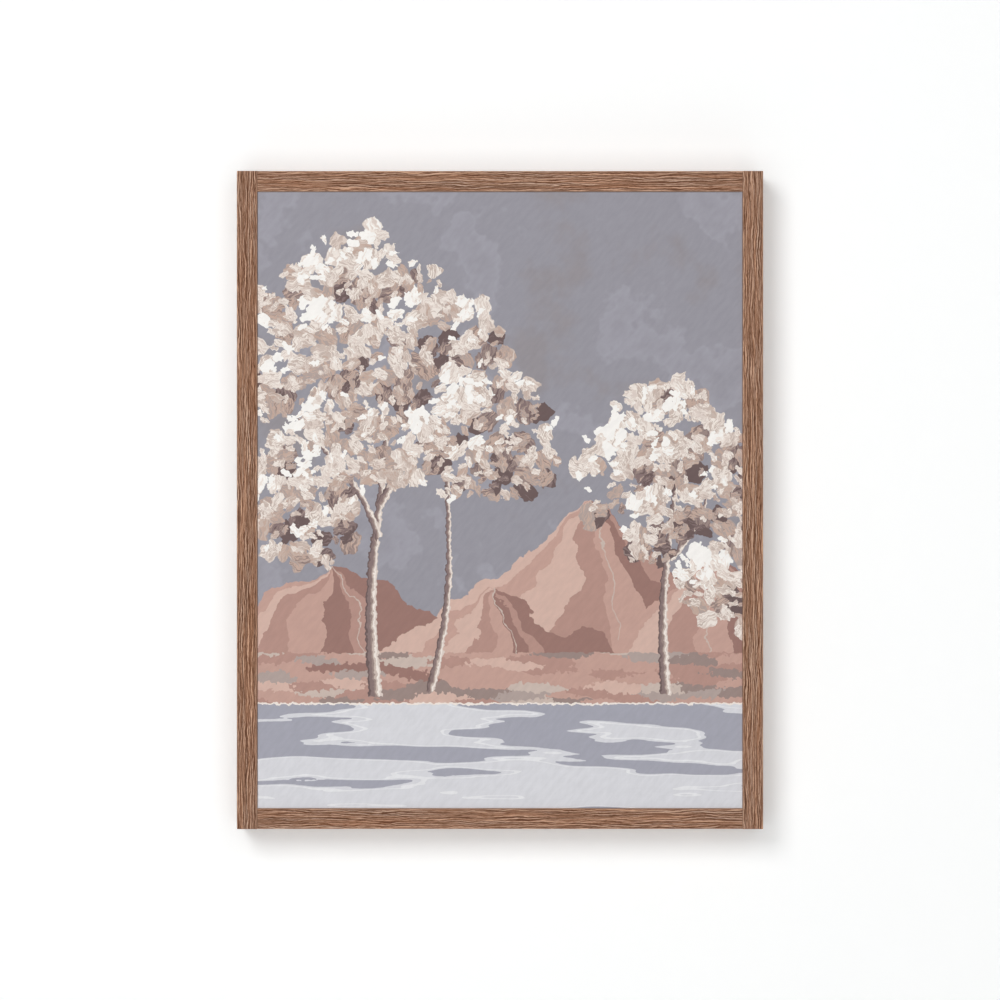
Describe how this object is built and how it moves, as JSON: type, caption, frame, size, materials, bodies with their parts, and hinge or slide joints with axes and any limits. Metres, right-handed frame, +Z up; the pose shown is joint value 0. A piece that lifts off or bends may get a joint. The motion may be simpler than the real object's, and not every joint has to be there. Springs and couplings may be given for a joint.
{
  "type": "framed canvas print",
  "caption": "Rectangular stretched canvas print in a butt-jointed wooden strip frame, hung flat on a wall by a sawtooth hanger.",
  "frame": {"origin": "middle notch of the sawtooth hanger, where the wall nail carries the picture", "axes": "+X to the right as the picture is seen from the front, +Y from the picture's face to the wall, +Z up"},
  "size_m": [0.4064, 0.0414, 0.508],
  "materials": {
    "frame_wood": "walnut-brown stain over a coarse open grain, satin",
    "stretcher_wood": "bare planed pine",
    "canvas": "matte printed plain-weave canvas, white behind",
    "steel": "bright zinc plate",
    "rubber": "soft black rubber, matte"
  },
  "bodies": {
    "root": {"stile_left": "frame_wood", "stile_right": "frame_wood", "rail_bottom": "frame_wood", "rail_top": "frame_wood", "stretcher_right": "stretcher_wood", "stretcher_bottom": "stretcher_wood", "stretcher_left": "stretcher_wood", "stretcher_top": "stretcher_wood", "canvas": "canvas", "brad_bottom_left_front": "steel", "brad_bottom_left_back": "steel", "v_nail_bottom_left": "steel", "plate_bottom_left": "steel", "screw_bottom_left_outer": "steel", "screw_bottom_left_inner": "steel", "brad_bottom_right_front": "steel", "brad_bottom_right_back": "steel", "v_nail_bottom_right": "steel", "plate_bottom_right": "steel", "screw_bottom_right_outer": "steel", "screw_bottom_right_inner": "steel", "brad_top_left_front": "steel", "brad_top_left_back": "steel", "v_nail_top_left": "steel", "plate_top_left": "steel", "screw_top_left_outer": "steel", "screw_top_left_inner": "steel", "brad_top_right_front": "steel", "brad_top_right_back": "steel", "v_nail_top_right": "steel", "plate_top_right": "steel", "screw_top_right_outer": "steel", "screw_top_right_inner": "steel", "staple_right_1": "steel", "staple_right_2": "steel", "staple_right_3": "steel", "staple_right_4": "steel", "staple_right_5": "steel", "staple_right_6": "steel", "staple_bottom_1": "steel", "staple_bottom_2": "steel", "staple_bottom_3": "steel", "staple_bottom_4": "steel", "staple_bottom_5": "steel", "staple_left_1": "steel", "staple_left_2": "steel", "staple_left_3": "steel", "staple_left_4": "steel", "staple_left_5": "steel", "staple_left_6": "steel", "staple_top_1": "steel", "staple_top_2": "steel", "staple_top_3": "steel", "staple_top_4": "steel", "staple_top_5": "steel", "hanger": "steel", "hanger_nail_left": "steel", "bumper_left": "rubber", "hanger_nail_right": "steel", "bumper_right": "rubber"}
  },
  "joints": []
}
